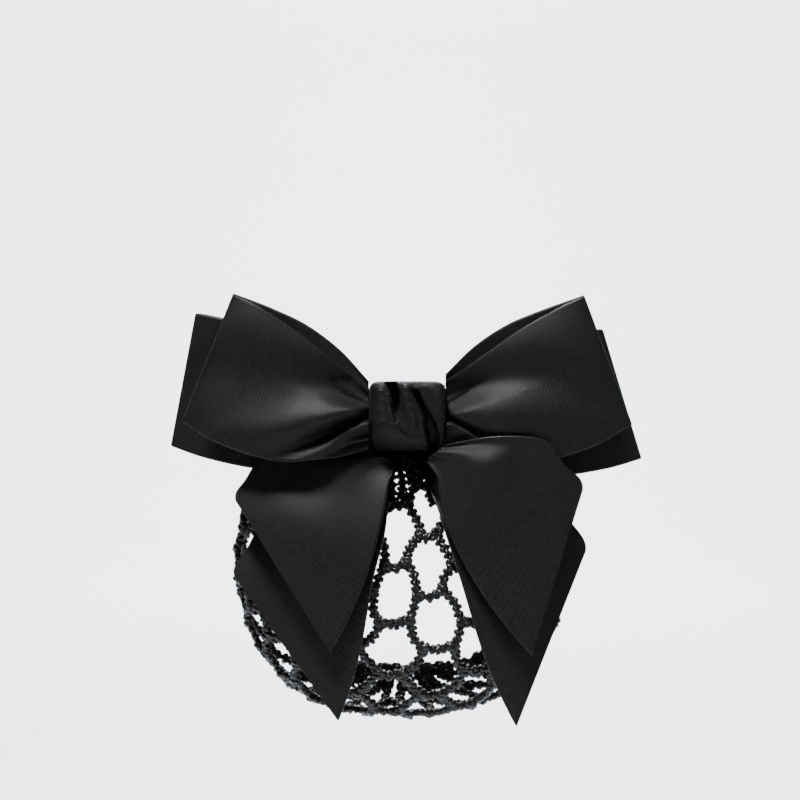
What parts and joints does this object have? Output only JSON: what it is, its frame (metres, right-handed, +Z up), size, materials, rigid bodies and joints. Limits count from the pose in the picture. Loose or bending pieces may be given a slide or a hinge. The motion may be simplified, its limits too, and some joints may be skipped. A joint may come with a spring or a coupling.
{
  "type": "hair snood",
  "caption": "Crocheted net hair snood under a double satin ribbon bow with slanted tails, held by a hair clip behind the knot.",
  "frame": {"origin": "middle of the hair clip's back face, where it lies on the hair behind the knot", "axes": "+X across the bow to the right as seen from behind the wearer, +Y towards the head, +Z up"},
  "size_m": [0.1749, 0.0604, 0.1596],
  "materials": {
    "ribbon": "black satin ribbon",
    "cord": "black crochet cord",
    "clip_steel": "dark coated steel"
  },
  "bodies": {
    "root": {"front_loop_left": "ribbon", "front_loop_right": "ribbon", "back_loop_left": "ribbon", "back_loop_right": "ribbon", "front_tail_left": "ribbon", "front_tail_right": "ribbon", "back_tail_left": "ribbon", "back_tail_right": "ribbon", "knot": "ribbon", "net_bag": "cord", "hair_clip": "clip_steel"}
  },
  "joints": []
}
